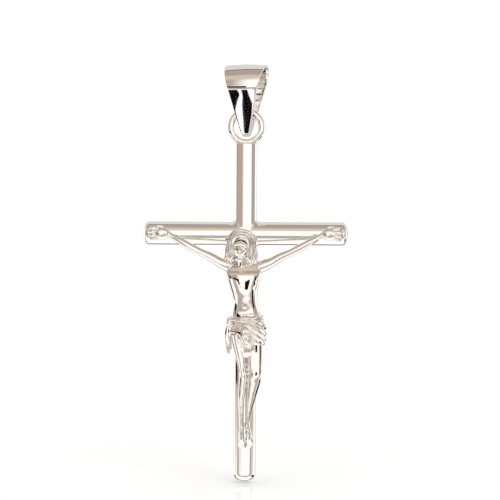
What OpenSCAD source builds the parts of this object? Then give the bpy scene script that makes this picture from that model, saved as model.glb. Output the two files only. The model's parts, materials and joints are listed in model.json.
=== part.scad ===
// Crucifix pendant: a cross of round silver tube with domed end caps, a cast figure
// pinned to its front, a soldered suspension ring and a tapered bail that carries it.
// Millimetres. +Z is up, the figure faces -Y, and +X is to the right seen from the front.
// The origin is the centre of the bail's round chain seat.

/* [Cross] */
// Length of the crossbar over both end caps
cross_width = 21; // [15:0.5:32]
// Height of the upright above the crossbar's axis, to the top of the crown cap
upper_reach = 9.35; // [6:0.05:15]
// Length of the upright below the crossbar's axis, to the end of the foot cap
lower_reach = 25.6; // [18:0.1:36]
// Outside diameter of the crossbar's tube
crossbar_d = 2.4; // [1.8:0.05:3]
// Outside diameter of the upright's tubes
upright_d = 2.3; // [1.7:0.05:3]
// Wall of all three tubes
tube_wall = 0.35; // [0.2:0.01:0.5]

/* [End caps] */
// How far the crossbar's caps stand out of the tube
arm_dome_h = 0.62; // [0.4:0.02:1]
// How far the foot cap stands out of the tube
foot_dome_h = 0.95; // [0.6:0.05:1.4]
// Thickness of the crown cap above the tube
crown_h = 0.6; // [0.4:0.05:1]
// How much wider than the tube the crown cap is, all round
crown_lip = 0; // [0:0.01:0.15]
// Length of each cap's spigot inside its tube
spigot_l = 0.9; // [0.5:0.05:1.4]

/* [Suspension ring] */
// Outside diameter of the ring
ring_d = 3.8; // [3:0.05:5]
// Diameter of the ring's wire
ring_wire_d = 0.66; // [0.5:0.01:0.85]
// Depth that the ring is let into the crown cap
ring_sink = 0.32; // [0.1:0.01:0.4]

/* [Bail] */
// Inside radius of the chain seat at the top of the bail
chain_seat_r = 1.7; // [1.4:0.05:2.5]
// Thickness of the bail's strip
bail_wall = 0.4; // [0.25:0.01:0.6]
// Width of the strip at the top
bail_top_w = 4.4; // [3.2:0.1:6]
// Width of the strip at its lower tip
bail_tip_w = 0.64; // [0.4:0.02:1]
// Distance from the chain seat's centre down to the ring's wire
bail_drop = 2.7; // [2.2:0.05:4]
// How far the bail is turned about the vertical, right side forward
bail_turn = 14; // [0:1:20]

/* [Figure] */
// Distance from each hand pin to the end of the crossbar
hand_inset = 1.9; // [1.7:0.05:3]
// Distance from the toes to the end of the foot cap
toe_gap = 3.4; // [2.5:0.1:6]
// Distance from the toes up to the foot pin
foot_pin_rise = 1.5; // [1:0.1:2.5]
// Diameter of the pins that hold the figure to the cross
pin_d = 0.5; // [0.3:0.02:0.6]
// Depth of each pin in the figure
pin_in_figure = 0.38; // [0.25:0.01:0.5]
// How far each pin reaches past the tube's wall, inside the tube
pin_past_wall = 0.3; // [0.1:0.05:0.4]

/* [Hidden] */
silver = [0.86, 0.85, 0.83];
fit = 0.01;          // radial room of a spigot or pin before it is soldered
side_play = 0.24;    // room each side of the bail's neck in the ring's hole
tip_play = 0.09;     // room under the bail's tip in the ring's hole
swing_play = 0.06;   // room between the ring's sides and the bail's lower seat
curve = 96;          // facets of a curve that OpenSCAD draws
far = 60;            // longer than any piece, for cuts

crossbar_r = crossbar_d / 2;
upright_r = upright_d / 2;
ring_wire_r = ring_wire_d / 2;
ring_c = ring_d / 2 - ring_wire_r;      // radius of the wire's centreline
ring_hole_r = ring_c - ring_wire_r;
hinge_z = -bail_drop;                   // the ring's wire at its top
ring_z = hinge_z - ring_c;
crown_z = ring_z - ring_d / 2 + ring_sink;
crossbar_z = crown_z - upper_reach;
foot_z = crossbar_z - lower_reach;
pin_x = cross_width / 2 - hand_inset;
figure = (lower_reach - toe_gap) / 22.2;   // the figure's scale, 1 at its drawn height
foot_pin_z = -(lower_reach - toe_gap) + foot_pin_rise;

// ---------------------------------------------------------------- bail
neck_w = 2 * (ring_hole_r - side_play);
bail_r = chain_seat_r + bail_wall;
// The lower seat is a cylinder about the ring's wire, wide enough for the ring's sides to roll in.
seat_r = ring_c - sqrt(pow(ring_hole_r, 2) - pow(neck_w / 2, 2)) + swing_play;
bail_lean = asin((chain_seat_r - seat_r) / bail_drop);   // slope of the strip's two sides
bail_l = bail_drop + ring_c + ring_hole_r - tip_play;    // chain seat's centre to the tip
tip_z = (bail_l - bail_r) / (1 - sin(bail_lean));
tip_r = bail_r - tip_z * sin(bail_lean);

// Two circles on a vertical line, joined by the two lines that touch both.
module drop_shape(top_r, low_r, apart) {
    lean = asin((top_r - low_r) / apart);
    function touch(r, z, side) = [side * r * cos(lean), z - r * sin(lean)];
    circle(r = top_r, $fn = curve);
    translate([0, -apart]) circle(r = low_r, $fn = curve);
    polygon([touch(top_r, 0, 1), touch(top_r, 0, -1), touch(low_r, -apart, -1), touch(low_r, -apart, 1)]);
}

module bail() {
    color(silver) rotate([0, 0, -bail_turn]) intersection() {
        rotate([90, 0, 90]) translate([0, 0, -bail_top_w]) linear_extrude(2 * bail_top_w) difference() {
            drop_shape(bail_r, tip_r, tip_z);
            drop_shape(chain_seat_r, seat_r, bail_drop);
        }
        rotate([90, 0, 0]) translate([0, 0, -far / 2]) linear_extrude(far) polygon([
            [bail_top_w / 2, bail_r], [-bail_top_w / 2, bail_r],
            [-neck_w / 2, hinge_z], [-bail_tip_w / 2, -bail_l],
            [bail_tip_w / 2, -bail_l], [neck_w / 2, hinge_z]]);
    }
}

// ---------------------------------------------------------------- ring and cross
module ring_solid() {
    translate([0, 0, ring_z]) rotate([90, 0, 0]) rotate_extrude($fn = curve)
        translate([ring_c, 0]) circle(r = ring_wire_r, $fn = 32);
}

module suspension_ring() {
    color(silver) ring_solid();
}

module rod(r, l) {
    cylinder(r = r, h = l, $fn = curve);
}

module crossbar_solid(r = crossbar_r) {
    translate([-far / 2, 0, crossbar_z]) rotate([0, 90, 0]) rod(r, far);
}

module pin_hole(x, z) {
    translate([x, 0, crossbar_z + z]) rotate([90, 0, 0]) rod(pin_d / 2 + fit, far);
}

// A plug with a domed end and a spigot, standing on z = 0 with its spigot below.
module dome_cap(r, dome_h) {
    corner = 0.7 * dome_h;
    face_r = 1.8 * r;
    rotate_extrude($fn = curve) {
        intersection() {
            union() {
                square([r - corner, dome_h]);
                square([r, dome_h - corner]);
                translate([r - corner, dome_h - corner]) circle(r = corner, $fn = curve);
            }
            translate([0, dome_h - face_r]) circle(r = face_r, $fn = curve);
            square([r, dome_h]);
        }
        translate([0, -spigot_l]) square([r - tube_wall - fit, spigot_l]);
    }
}

module crown_cap() {
    tube_top = crown_z - crown_h;
    edge = 0.12;
    crown_r = upright_r + crown_lip;
    color(silver) difference() {
        translate([0, 0, tube_top]) rotate_extrude($fn = curve) {
            square([crown_r - edge, crown_h]);
            square([crown_r, crown_h - edge]);
            translate([crown_r - edge, crown_h - edge]) circle(r = edge, $fn = curve);
            translate([0, -spigot_l]) square([upright_r - tube_wall - fit, spigot_l]);
        }
        ring_solid();
    }
}

module upper_upright_tube() {
    l = upper_reach - crown_h;
    color(silver) translate([0, 0, crossbar_z]) difference() {
        rod(upright_r, l);
        translate([0, 0, -1]) rod(upright_r - tube_wall, l + 2);
        translate([0, 0, -crossbar_z]) crossbar_solid();
    }
}

module lower_upright_tube() {
    l = lower_reach - foot_dome_h;
    color(silver) difference() {
        translate([0, 0, crossbar_z - l]) rod(upright_r, l);
        translate([0, 0, crossbar_z - l - 1]) rod(upright_r - tube_wall, l + 2);
        crossbar_solid();
        pin_hole(0, foot_pin_z);
    }
}

module crossbar_tube() {
    l = cross_width - 2 * arm_dome_h;
    color(silver) difference() {
        translate([-l / 2, 0, crossbar_z]) rotate([0, 90, 0]) rod(crossbar_r, l);
        translate([-l / 2 - 1, 0, crossbar_z]) rotate([0, 90, 0]) rod(crossbar_r - tube_wall, l + 2);
        for (side = [-1, 1]) pin_hole(side * pin_x, 0);
    }
}

module foot_cap() {
    color(silver) translate([0, 0, foot_z + foot_dome_h]) rotate([180, 0, 0]) dome_cap(upright_r, foot_dome_h);
}

module end_cap(side) {
    color(silver) translate([side * (cross_width / 2 - arm_dome_h), 0, crossbar_z])
        rotate([0, side * 90, 0]) dome_cap(crossbar_r, arm_dome_h);
}

// ---------------------------------------------------------------- pins
// A pin runs along Y, from inside the figure to just past the tube's front wall.
module figure_pin(x, z, tube_r) {
    color(silver) translate([x, -(tube_r - tube_wall - pin_past_wall), crossbar_z + z])
        rotate([90, 0, 0]) rod(pin_d / 2, tube_wall + pin_past_wall + pin_in_figure);
}

// ---------------------------------------------------------------- figure
// A chain of balls [x, y, z, radius], each joined to the next, is a limb.
module limb(balls, facets = 14) {
    for (i = [1 : len(balls) - 1]) hull() for (b = [balls[i - 1], balls[i]])
        translate([b.x, b.y, b.z]) sphere(r = b[3], $fn = facets);
}

module blob(at, size, facets = 18) {
    translate(at) scale(size) sphere(r = 1, $fn = facets);
}

// Depths of the casting in its own scale, so that it stays on the tubes at any height.
hand_y = -(crossbar_r / figure + 0.22);
chest_y = -(upright_r / figure + 0.85);
knee_y = chest_y - 0.4;
calf_y = -(upright_r / figure + 0.75);
foot_y = -(upright_r / figure + 0.25);
left_shoulder = [-1.95, chest_y, -2.95];
right_shoulder = [1.6, chest_y, -2.95];

// From the shoulder to the wrist, with the elbow hanging a little below the straight line.
function arm_ball(shoulder, wrist, share, sag, r) =
    let (at = shoulder * (1 - share) + wrist * share) [at.x, at.y, at.z - sag, r];

module arm(shoulder, side) {
    palm = [side * pin_x / figure, hand_y, 0.12];
    wrist = palm + [-side * 0.85, 0, -0.4];
    limb([for (stage = [[0, 0, 0.58], [0.2, 0.05, 0.48], [0.5, 0.12, 0.4], [0.7, 0.08, 0.4], [1, 0, 0.27]])
        arm_ball(shoulder, wrist, stage[0], stage[1], stage[2])]);
    limb([[wrist.x, wrist.y, wrist.z, 0.27],
        [palm.x, palm.y, palm.z, 0.5],
        [palm.x + side * 0.45, palm.y, palm.z + 0.1, 0.5],
        [palm.x + side * 1.0, palm.y - 0.05, palm.z + 0.12, 0.36]], 12);
}

// A head bowed a little forward, with a short beard and hair falling to both shoulders.
module head() {
    blob([-0.45, chest_y - 0.5, -1.1], [0.95, 1.1, 1.3]);
    hull() {
        blob([-0.5, chest_y - 1, -1.7], [0.6, 0.45, 0.6], 14);
        blob([-0.52, chest_y - 0.95, -2.3], [0.34, 0.32, 0.3], 12);
    }
    blob([-0.42, chest_y - 0.35, -0.9], [1.3, 1.05, 1.32]);
    limb([[-1.45, chest_y - 0.25, -1, 0.42], [-1.6, chest_y - 0.2, -1.8, 0.42],
        [-1.6, chest_y - 0.15, -2.6, 0.36]]);
    limb([[0.6, chest_y - 0.25, -1, 0.42], [0.75, chest_y - 0.2, -1.8, 0.42],
        [0.8, chest_y - 0.15, -2.6, 0.36]]);
    limb([[-0.5, chest_y - 0.4, -1.9, 0.55], [-0.25, chest_y - 0.1, -3, 0.62]]);
}

module torso() {
    hull() {
        blob([-1.25, chest_y, -3.2], [0.85, 0.72, 0.8]);
        blob([0.95, chest_y, -3.2], [0.85, 0.72, 0.8]);
        blob([-0.15, chest_y, -4.6], [1.62, 0.78, 1]);
    }
    hull() {
        blob([-0.15, chest_y, -4.7], [1.58, 0.76, 0.9]);
        blob([-0.05, chest_y + 0.1, -7], [1.26, 0.62, 0.9]);
    }
    hull() {
        blob([-0.05, chest_y + 0.1, -7], [1.26, 0.62, 0.9]);
        blob([0.05, chest_y, -9], [1.6, 0.8, 1.2]);
    }
}

module loincloth() {
    hull() {
        blob([0.05, chest_y, -8.4], [1.72, 0.92, 0.75]);
        blob([0.1, chest_y, -10], [1.95, 1, 0.9]);
        blob([0.45, chest_y, -11.1], [1.5, 0.95, 0.7], 14);
    }
    // rolled waistband
    translate([0.02, chest_y, -8.02]) rotate([4, 2, 0]) scale([1, 0.56, 1]) rotate_extrude($fn = 28)
        translate([1.55, 0]) circle(r = 0.3, $fn = 8);
    // gathered knot and its hanging end
    limb([[-1.65, chest_y, -9, 0.36], [-1.72, chest_y, -10.2, 0.38], [-1.35, chest_y, -11.9, 0.26]], 12);
}

module legs() {
    thigh_y = chest_y - 0.1;
    limb([[-0.8, chest_y, -10.6, 0.72], [-0.66, thigh_y, -12.4, 0.64], [-0.52, knee_y, -13.9, 0.56],
        [-0.42, knee_y + 0.2, -15.6, 0.48], [-0.35, calf_y, -18, 0.38], [-0.3, foot_y, -19.6, 0.29]]);
    limb([[0.95, chest_y, -10.6, 0.84], [0.98, thigh_y, -12.6, 0.8], [1, knee_y, -14.5, 0.73],
        [0.78, knee_y + 0.15, -16, 0.62], [0.42, calf_y, -18, 0.44], [0.3, foot_y, -19.6, 0.3]]);
    limb([[-0.3, foot_y, -19.6, 0.31], [-0.32, foot_y - 0.1, -21, 0.38], [-0.28, foot_y - 0.1, -21.9, 0.3]], 12);
    limb([[0.3, foot_y, -19.6, 0.31], [0.44, foot_y - 0.08, -20.8, 0.38], [0.46, foot_y - 0.08, -21.6, 0.32]], 12);
}

// The casting's back is hollowed to sit on the tubes, and drilled for the three pins.
module corpus() {
    snug = 1 / cos(180 / curve);   // keeps a drawn facet outside the true cylinder
    color(silver) difference() {
        translate([0, 0, crossbar_z]) scale(figure) {
            head();
            torso();
            loincloth();
            legs();
            arm(left_shoulder, -1);
            arm(right_shoulder, 1);
        }
        crossbar_solid(crossbar_r * snug);
        translate([0, 0, crossbar_z - far]) rod(upright_r * snug, 2 * far);
        for (side = [-1, 1]) pin_socket(side * pin_x, 0, crossbar_r);
        pin_socket(0, foot_pin_z, upright_r);
    }
}

module pin_socket(x, z, tube_r) {
    facets = 24;
    socket_r = (pin_d / 2 + fit) / cos(180 / facets);
    translate([x, 0, crossbar_z + z]) rotate([90, 0, 0])
        cylinder(r = socket_r, h = tube_r + pin_in_figure + fit, $fn = facets);
}

bail();
suspension_ring();
crown_cap();
upper_upright_tube();
crossbar_tube();
lower_upright_tube();
foot_cap();
end_cap(-1);  // left_end_cap
end_cap(1);  // right_end_cap
corpus();
figure_pin(-pin_x, 0, crossbar_r);  // left_hand_pin
figure_pin(pin_x, 0, crossbar_r);  // right_hand_pin
figure_pin(0, foot_pin_z, upright_r);  // foot_pin
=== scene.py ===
# %% [markdown]
# A silver crucifix pendant. The real one is made at a jeweller's bench: three lengths of drawn
# tube are soldered into a cross, their ends are closed with domed plugs, a cast figure is pinned
# and soldered to the front, and a tapered bail hangs from a small ring at the top. Everything is
# then polished until it mirrors the room. This lesson builds each piece as a worked-out surface,
# because a mirror shows every flat and every kink that a rough mesh has.

# %% Open the frame
import json
import math
import bmesh
import bpy
import numpy as np
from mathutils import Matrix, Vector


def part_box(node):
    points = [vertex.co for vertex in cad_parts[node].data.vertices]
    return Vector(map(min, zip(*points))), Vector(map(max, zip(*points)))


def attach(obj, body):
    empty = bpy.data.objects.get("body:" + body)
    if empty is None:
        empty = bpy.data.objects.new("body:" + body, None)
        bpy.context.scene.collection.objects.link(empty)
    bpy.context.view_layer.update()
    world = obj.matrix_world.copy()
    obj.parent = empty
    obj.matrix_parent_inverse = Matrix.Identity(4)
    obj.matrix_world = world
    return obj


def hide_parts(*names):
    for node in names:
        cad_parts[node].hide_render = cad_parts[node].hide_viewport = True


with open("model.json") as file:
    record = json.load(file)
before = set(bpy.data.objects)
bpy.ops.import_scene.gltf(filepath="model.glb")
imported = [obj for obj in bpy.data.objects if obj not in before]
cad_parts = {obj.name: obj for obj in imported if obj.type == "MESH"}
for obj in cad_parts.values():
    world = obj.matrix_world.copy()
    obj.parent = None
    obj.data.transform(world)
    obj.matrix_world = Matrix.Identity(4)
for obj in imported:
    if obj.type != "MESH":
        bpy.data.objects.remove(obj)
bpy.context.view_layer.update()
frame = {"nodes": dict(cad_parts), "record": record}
MM = 0.001
node_box = {name: np.array(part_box(name)) / MM for name in frame["nodes"]}
for name, corners in node_box.items():
    print(f"{name:20s} {np.round(corners[0], 2)} to {np.round(corners[1], 2)} mm")

# %% [markdown]
# Every size comes from the frame where the frame knows it. The tubes' boxes give their radii and
# the height of the crossbar's axis, the figure's box gives the height of its toes, the mount
# gives the bail's round seat, and the joint gives the line on which the bail hangs.

# %% Read the driving sizes
record = frame["record"]
seat = record["mounts"][0]
hinge = record["behaviour"]["joints"][0]
middle = {name: corners.mean(axis=0) for name, corners in node_box.items()}
span = {name: corners[1] - corners[0] for name, corners in node_box.items()}
crossbar_z = middle["crossbar_tube"][2]
crossbar_r = span["crossbar_tube"][2] / 2
upright_r = span["lower_upright_tube"][0] / 2
crown_z = node_box["crown_cap"][1][2]
foot_z = node_box["foot_cap"][0][2]
bar_end_x = node_box["right_end_cap"][1][0]
toe_z = node_box["corpus"][0][2]
hinge_z = hinge["pos_m"][2] / MM
chain_seat_r = seat["dims"]["r_mm"]
bail_turn = math.atan2(seat["axis"][1], seat["axis"][0])
print(f"crossbar axis at {crossbar_z:.2f}, tube radii {crossbar_r:.2f} and {upright_r:.2f} mm")
print(f"hinge at {hinge_z:.2f} mm, bail turned {math.degrees(bail_turn):.1f} degrees")

# %% [markdown]
# The camera is a long lens that looks at the front from a little above the pendant's middle. A
# long lens keeps the upright's two edges parallel, as a product picture does. The picture is
# square, so one width serves for both sides, and it is rolled by a third of a degree, because a
# pendant laid down by hand is never quite plumb.

# %% Set up the camera
VIEW_W = 51.4                       # mm of the pendant's plane that the picture spans
VIEW_AT = (0.4, 0.0, -16.9)         # the point in the middle of the picture, mm
LENS, SENSOR = 120.0, 36.0
VIEW_UP = 3.0                       # degrees above level
VIEW_ROLL = -0.35                   # degrees out of plumb
camera_data = bpy.data.cameras.new("camera")
camera_data.lens, camera_data.sensor_width = LENS, SENSOR
camera_data.clip_start, camera_data.clip_end = 0.01, 5.0
camera = bpy.data.objects.new("camera", camera_data)
bpy.context.scene.collection.objects.link(camera)
reach = VIEW_W * LENS / SENSOR
tilt = math.radians(VIEW_UP)
camera.location = (VIEW_AT[0] * MM, (VIEW_AT[1] - reach * math.cos(tilt)) * MM,
                   (VIEW_AT[2] + reach * math.sin(tilt)) * MM)
camera.rotation_euler = (math.pi / 2 - tilt, math.radians(VIEW_ROLL), 0.0)
bpy.context.scene.camera = camera
bpy.context.scene.view_settings.view_transform = "Standard"
print(f"camera {reach:.0f} mm in front")

# %% [markdown]
# Polished silver has hardly any colour of its own: what the eye reads as silver is the room in
# it. So the room is built with care. The world is a white tent, and soft taupe and grey walls
# are painted on it by direction. Matt black cards stand nearer, out of the camera's sight; they
# draw the hard dark marks that make a curved surface look like metal. Every colour is typed as
# the hex code that a screen shows and changed to linear light by one function.

# %% Small helpers for nodes and colours
def linear(hex_colour):
    """Linear RGBA of an sRGB hex colour: each channel is undone by the sRGB curve."""
    c = np.array([int(hex_colour[i:i + 2], 16) for i in (1, 3, 5)]) / 255
    c = np.where(c <= 0.04045, c / 12.92, ((c + 0.055) / 1.055) ** 2.4)
    return (*c, 1.0)


def add_node(tree, kind, links=(), **settings):
    """Adds one node, sets its sockets or properties by name, and links (socket, source) pairs."""
    node = tree.nodes.new(kind)
    for name, value in settings.items():
        socket = node.inputs.get(name.replace("_", " "))
        if socket is not None:
            socket.default_value = value
        else:
            setattr(node, name, value)
    for name, source in links:
        tree.links.new(source, node.inputs[name])
    return node


def new_material(name):
    """An empty node material, its tree and its output node."""
    material = bpy.data.materials.new(name)
    material.use_nodes = True
    tree = material.node_tree
    tree.nodes.clear()
    return material, tree, tree.nodes.new("ShaderNodeOutputMaterial")


def matt(name, hex_colour, roughness=1.0, specular=0.0):
    """Plain card or paper."""
    material, tree, out = new_material(name)
    shader = add_node(tree, "ShaderNodeBsdfPrincipled", Base_Color=linear(hex_colour),
                      Roughness=roughness)
    shader.inputs["Specular IOR Level"].default_value = specular
    tree.links.new(shader.outputs[0], out.inputs[0])
    return material


# %% [markdown]
# A wall is a band of one angle, and three small functions turn a direction into such a band. A
# band's edge is a smooth rise rather than a step, a wall is the product of its rises, and an
# angle comes from two of the direction's components.

# %% Functions for painting by direction
def smooth_rise(tree, value, low, high):
    """Nodes for a smooth rise from 0 at low to 1 at high."""
    return add_node(tree, "ShaderNodeMapRange", [("Value", value)], From_Min=low, From_Max=high,
                    interpolation_type="SMOOTHSTEP").outputs[0]


def product(tree, *values):
    """Nodes that multiply values."""
    result = values[0]
    for value in values[1:]:
        node = add_node(tree, "ShaderNodeMath", operation="MULTIPLY")
        tree.links.new(result, node.inputs[0])
        tree.links.new(value, node.inputs[1])
        result = node.outputs[0]
    return result


def angle_between(tree, up, ahead):
    """Nodes for the angle in degrees of the point (ahead, up) from the ahead axis."""
    node = add_node(tree, "ShaderNodeMath", operation="ARCTAN2")
    tree.links.new(up, node.inputs[0])
    tree.links.new(ahead, node.inputs[1])
    degrees = add_node(tree, "ShaderNodeMath", operation="MULTIPLY")
    tree.links.new(node.outputs[0], degrees.inputs[0])
    degrees.inputs[1].default_value = 180 / math.pi
    return degrees.outputs[0]


# %% [markdown]
# The turn is measured round the vertical, from the viewer to the right. The rise is measured
# over the top, from the viewer to the back. A height is the sine of the angle above the horizon.
# An upright tube sweeps through every turn and the crossbar through every rise, so each takes its
# long bands from the walls of that kind. Only mirrors see the painted walls; the camera and soft
# light see plain white.

# %% Paint the tent's walls
WALL_FADE = 0.12                    # height over which a wall's upper and lower ends fade
TENT_LIGHT = 1.12
WALLS = [  # which angle, low edge, soft over, high edge, soft over, least height, most, colour
    ("turn", -108, 4, -40, 20, -0.10, 0.5, "#aea196"),
    ("turn", -113, 3, -104, 3, -0.10, 0.5, "#857b77"),
    ("turn", 66, 14, 103, 6, -0.12, 0.3, "#a79d99"),
    ("turn", 150, 12, 181, 1, -0.3, 0.3, "#c2bdb9"),
    ("turn", -181, 1, -158, 12, -0.3, 0.3, "#cbc5c0"),
    ("rise", -44, 6, -21, 5, -2.0, -0.16, "#b3a79b"),
    ("rise", 40, 22, 90, 3, 0.2, 2.0, "#c9bcae"),
    ("rise", 64, 14, 90, 3, 0.2, 2.0, "#a89b8e"),
    ("rise", 94, 3, 103, 3, 0.3, 2.0, "#4b403c"),
    ("rise", 103, 8, 165, 14, 0.2, 2.0, "#d5d1cd"),
    ("rise", -150, 6, -128, 6, -2.0, -0.3, "#6b605b"),
]
world = bpy.data.worlds.new("tent")
world.use_nodes = True
sky = world.node_tree
sky.nodes.clear()
direction = add_node(sky, "ShaderNodeSeparateXYZ", [("Vector", add_node(
    sky, "ShaderNodeTexCoord").outputs["Generated"])]).outputs
ahead = add_node(sky, "ShaderNodeMath", operation="MULTIPLY")
sky.links.new(direction[1], ahead.inputs[0])
ahead.inputs[1].default_value = -1.0
angles = {"turn": angle_between(sky, direction[0], ahead.outputs[0]),
          "rise": angle_between(sky, direction[2], ahead.outputs[0])}
paint = add_node(sky, "ShaderNodeRGB")
paint.outputs[0].default_value = linear("#fffefc")
paint = paint.outputs[0]
for which, low, low_soft, high, high_soft, least, most, colour in WALLS:
    falling = smooth_rise(sky, angles[which], high + high_soft, high)
    cover = product(sky, smooth_rise(sky, angles[which], low - low_soft, low), falling,
                    smooth_rise(sky, direction[2], least - WALL_FADE, least),
                    smooth_rise(sky, direction[2], most + WALL_FADE, most))
    wall = add_node(sky, "ShaderNodeMix", data_type="RGBA", blend_type="MIX")
    sky.links.new(cover, wall.inputs[0])
    sky.links.new(paint, wall.inputs[6])
    wall.inputs[7].default_value = linear(colour)
    paint = wall.outputs[2]
seen = add_node(sky, "ShaderNodeMix", data_type="RGBA", blend_type="MIX")
sky.links.new(add_node(sky, "ShaderNodeLightPath").outputs["Is Glossy Ray"], seen.inputs[0])
seen.inputs[6].default_value = linear("#ffffff")
sky.links.new(paint, seen.inputs[7])
background = add_node(sky, "ShaderNodeBackground", [("Color", seen.outputs[2])],
                      Strength=TENT_LIGHT)
sky.links.new(background.outputs[0], add_node(sky, "ShaderNodeOutputWorld").inputs[0])
bpy.context.scene.world = world
print(len(WALLS), "walls painted on the tent")

# %% [markdown]
# The cards are flat rectangles that only mirrors see. Two stand low at the left and are seen in
# the bail's sloping front, with a strip of a white card between them. Three are seen in the
# figure's chest, and two lower ones in its sides and shins.

# %% Stand the cards round the pendant
def card(name, centre, facing, width, height, material):
    """A flat rectangle, in mm, whose face looks at the point facing; the camera can't see it."""
    c, f = np.array(centre, float), np.array(facing, float)
    normal = (f - c) / np.linalg.norm(f - c)
    up = np.array([0.0, 0.0, 1.0]) if abs(normal[2]) < 0.9 else np.array([0.0, 1.0, 0.0])
    side = np.cross(up, normal)
    side /= np.linalg.norm(side)
    up = np.cross(normal, side)
    corners = [c + sx * side * width / 2 + sy * up * height / 2
               for sx, sy in ((-1, -1), (1, -1), (1, 1), (-1, 1))]
    mesh = bpy.data.meshes.new(name)
    mesh.from_pydata([tuple(p * MM) for p in corners], [], [(0, 1, 2, 3)])
    mesh.materials.append(material)
    obj = bpy.data.objects.new(name, mesh)
    bpy.context.scene.collection.objects.link(obj)
    obj.visible_camera = False
    obj.visible_diffuse = False
    obj.visible_shadow = False
    return obj


black = matt("black card", "#0d0a0b")
white = matt("white card", "#ffffff")
bail_front = (0, -1, -3)
figure = (0, 0, -29)
pivot = (0, 0, -18)
card("panel_back", (-110, -124, -116), bail_front, 150, 48, white)
card("left_panel", (-111.9, -98.9, -104.4), bail_front, 70, 30, black)
card("right_panel", (-70.2, -132.1, -104.4), bail_front, 19, 30, black)
card("left_low", (-116, 6, -38), pivot, 50, 16, black)
card("right_low", (112, 16, -92), pivot, 80, 44, black)
card("camera_card", (40, -118, -33), (0, 0, -28), 60, 18, black)
card("left_stand", (-86, -86, -32), figure, 92, 19, black)
card("right_stand", (117, -26, -37), figure, 36, 24, black)

# %% [markdown]
# The pendant's foot all but touches a sheet of glazed paper. The sheet is small and fades away
# at its edge, and mirrors don't see it, so the silver above it stays free of a white horizon.

# %% Lay the paper
HALF_FLOOR = 80 * MM
FLOOR_GAP = 0.2                     # mm of air under the foot cap
GLAZE = 0.28                        # share of the light that the glaze mirrors
floor_mesh = bpy.data.meshes.new("floor")
floor_mesh.from_pydata([(sx * HALF_FLOOR, sy * HALF_FLOOR, 0) for sx, sy in
                        ((-1, -1), (1, -1), (1, 1), (-1, 1))], [], [(0, 1, 2, 3)])
paper, paper_tree, paper_out = new_material("white glazed paper")
pulp = add_node(paper_tree, "ShaderNodeBsdfDiffuse", Color=linear("#ffffff"))
glaze = add_node(paper_tree, "ShaderNodeBsdfGlossy", Roughness=0.08)
coat = add_node(paper_tree, "ShaderNodeMixShader", Fac=GLAZE)
paper_tree.links.new(pulp.outputs[0], coat.inputs[1])
paper_tree.links.new(glaze.outputs[0], coat.inputs[2])
from_foot = add_node(paper_tree, "ShaderNodeVectorMath", [("Vector", add_node(
    paper_tree, "ShaderNodeTexCoord").outputs["Object"])], operation="LENGTH")
gone = smooth_rise(paper_tree, from_foot.outputs["Value"], 22 * MM, 70 * MM)
torn = add_node(paper_tree, "ShaderNodeMixShader")
paper_tree.links.new(gone, torn.inputs[0])
paper_tree.links.new(coat.outputs[0], torn.inputs[1])
paper_tree.links.new(add_node(paper_tree, "ShaderNodeBsdfTransparent").outputs[0], torn.inputs[2])
paper_tree.links.new(torn.outputs[0], paper_out.inputs[0])
floor_mesh.materials.append(paper)
floor = bpy.data.objects.new("floor", floor_mesh)
floor.location.z = (foot_z - FLOOR_GAP) * MM
floor.visible_glossy = False
bpy.context.scene.collection.objects.link(floor)

# %% [markdown]
# Two soft boxes add a little shape to the paper's shadow. Mirrors don't see them either: a lamp
# that shows in silver is a burnt-out square.

# %% Hang two soft boxes
def softbox(name, at, watts, size):
    """A square area light, in mm, that looks at the pendant's middle."""
    data = bpy.data.lights.new(name, "AREA")
    data.energy, data.size = watts, size * MM
    obj = bpy.data.objects.new(name, data)
    obj.location = tuple(v * MM for v in at)
    aim = np.array(pivot, float) - np.array(at, float)
    aim /= np.linalg.norm(aim)
    obj.rotation_euler = (math.acos(-aim[2]), 0.0, math.atan2(aim[0], -aim[1]) + math.pi)
    obj.visible_glossy = False
    bpy.context.scene.collection.objects.link(obj)
    return obj


softbox("key_softbox", (120, -170, 90), 0.10, 120)
softbox("fill_softbox", (-150, -130, 20), 0.03, 90)
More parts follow.
